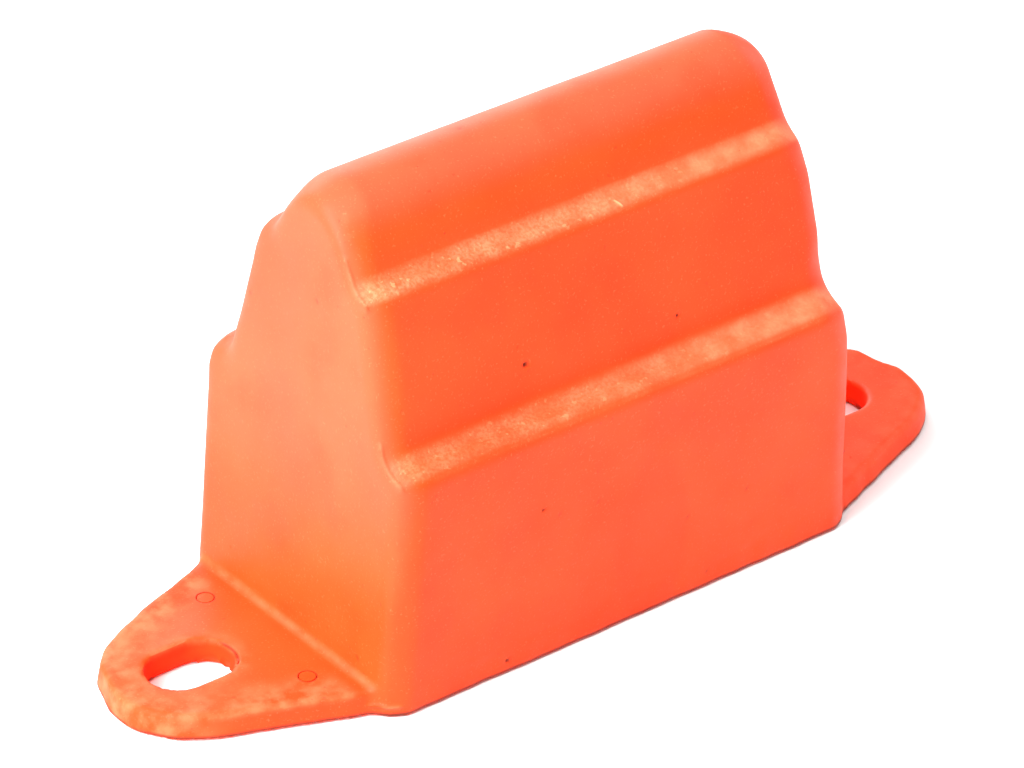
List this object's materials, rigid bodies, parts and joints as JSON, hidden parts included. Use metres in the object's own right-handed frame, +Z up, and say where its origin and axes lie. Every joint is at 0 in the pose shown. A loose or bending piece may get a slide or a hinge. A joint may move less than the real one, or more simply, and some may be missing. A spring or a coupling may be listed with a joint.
{
  "type": "rubber speed bump",
  "caption": "Bolt-down elastomer bump block: tall bar with two ledges down each long side, a round crown and a slotted ear at each end.",
  "frame": {"origin": "middle of the flat underside, halfway between the noses of the two ears", "axes": "+X along the block towards the right ear, +Y across it, +Z up out of the underside towards the crown"},
  "size_m": [0.2022, 0.0668, 0.1022],
  "materials": {
    "orange_elastomer": "satin moulded",
    "spacer_elastomer": "satin moulded",
    "insert_steel": "blasted and primed for bonding"
  },
  "bodies": {
    "root": {"bump_body": "orange_elastomer", "insert_plate": "insert_steel", "top_plug_left_front": "spacer_elastomer", "top_plug_left_back": "spacer_elastomer", "top_plug_right_front": "spacer_elastomer", "top_plug_right_back": "spacer_elastomer", "bottom_plug_left_front": "spacer_elastomer", "bottom_plug_left_back": "spacer_elastomer", "bottom_plug_right_front": "spacer_elastomer", "bottom_plug_right_back": "spacer_elastomer"}
  },
  "joints": []
}
